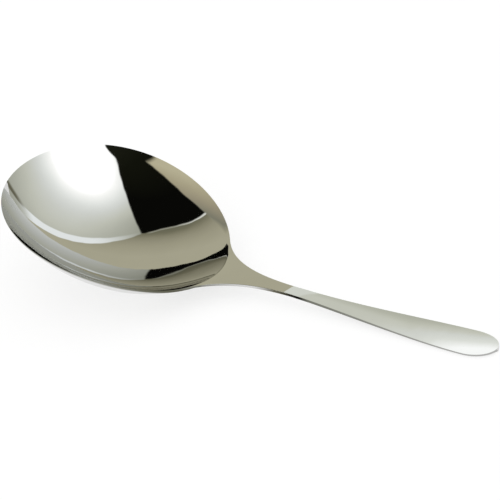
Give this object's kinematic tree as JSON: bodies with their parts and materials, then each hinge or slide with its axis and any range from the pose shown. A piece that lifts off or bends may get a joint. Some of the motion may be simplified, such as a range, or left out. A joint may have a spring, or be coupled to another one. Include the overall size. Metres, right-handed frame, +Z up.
{
  "type": "serving spoon",
  "caption": "Polished steel serving spoon for rice: a wide oval bowl folds over at its heel into a slim neck and a long handle that broadens to a rounded end.",
  "frame": {"origin": "middle of the small flat under the bowl that stands on the table", "axes": "X runs from the bowl's tip to the handle's end, Y across the bowl, Z up from the table, with the spoon lying as it rests"},
  "size_m": [0.2652, 0.0878, 0.0444],
  "materials": {
    "bowl_steel": "mirror-polished stainless steel",
    "handle_steel": "mirror-polished stainless steel"
  },
  "bodies": {
    "root": {"bowl": "bowl_steel", "handle": "handle_steel"}
  },
  "joints": []
}
